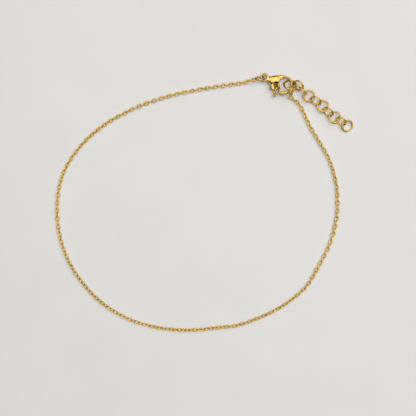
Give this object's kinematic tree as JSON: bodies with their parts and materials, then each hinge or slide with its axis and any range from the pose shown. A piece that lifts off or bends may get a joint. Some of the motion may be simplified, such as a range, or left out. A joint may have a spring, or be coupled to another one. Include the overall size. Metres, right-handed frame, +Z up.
{
  "type": "chain anklet",
  "caption": "Fine gold-coloured cable-chain anklet lying open in a loop, with a lobster clasp that has a sprung lever and an extender of linked rings to adjust the fit.",
  "frame": {"origin": "middle of the lying anklet's box, at the level of the surface that it lies on", "axes": "+Z up from the surface, +X along the loop's longest way towards the extender's free end"},
  "size_m": [0.0846, 0.0734, 0.0037],
  "materials": {
    "chain_gold": "polished gold plating on fine links",
    "ring_gold": "polished gold plating on drawn wire",
    "clasp_gold": "polished gold plating on a casting"
  },
  "bodies": {
    "anklet": {"chain": "chain_gold", "chain_ring_left": "ring_gold", "chain_ring_right": "ring_gold", "closing_ring": "ring_gold", "clasp_body": "clasp_gold", "extender_ring_01": "ring_gold", "extender_ring_02": "ring_gold", "extender_ring_03": "ring_gold", "extender_ring_04": "ring_gold", "extender_ring_05": "ring_gold", "extender_ring_06": "ring_gold", "extender_ring_07": "ring_gold", "extender_ring_08": "ring_gold", "extender_ring_09": "ring_gold"},
    "lever": {"clasp_lever": "clasp_gold"}
  },
  "joints": [
    {"name": "lever_hinge", "type": "hinge", "parent": "anklet", "child": "lever", "pos_m": [0.02103, 0.03527, 0.00122], "axis": [0, 0, -1], "range_deg": [0, 15], "stiffness_Nm_per_rad": 0.000004, "springref_deg": -5.73}
  ]
}
